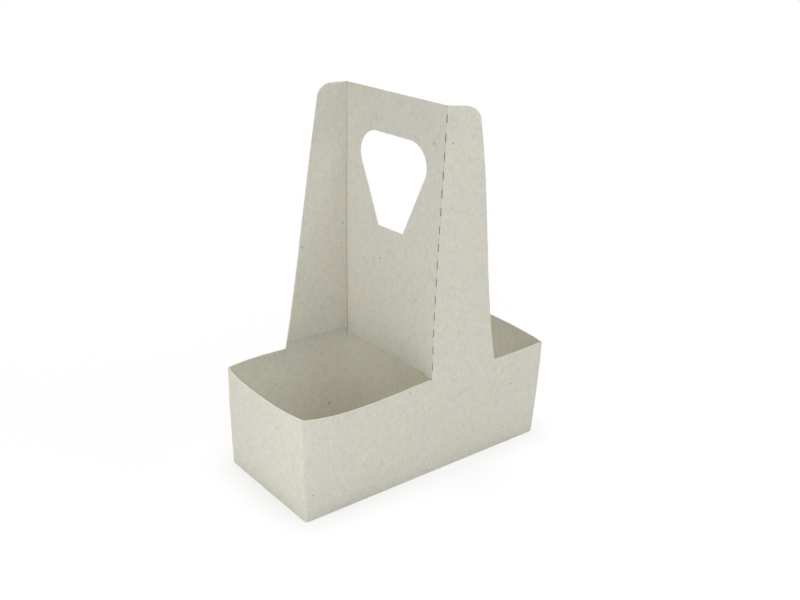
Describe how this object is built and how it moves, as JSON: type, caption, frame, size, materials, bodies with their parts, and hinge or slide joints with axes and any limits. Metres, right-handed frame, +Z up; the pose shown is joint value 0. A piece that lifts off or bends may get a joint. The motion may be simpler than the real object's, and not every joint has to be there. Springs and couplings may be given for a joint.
{
  "type": "cardboard cup carrier",
  "caption": "Folded cardboard carrier with two open wells for cups and a tall handle panel with a hand hole.",
  "frame": {"origin": "middle of the bottom's outer face, on the surface that the carrier stands on", "axes": "+X along the length, towards the side where the front wall rises into its riser; +Y from the front wall to the back wall; +Z up"},
  "size_m": [0.2212, 0.1097, 0.268],
  "materials": {
    "cardboard": "matte"
  },
  "bodies": {
    "root": {"folded_carrier": "cardboard"}
  },
  "joints": []
}
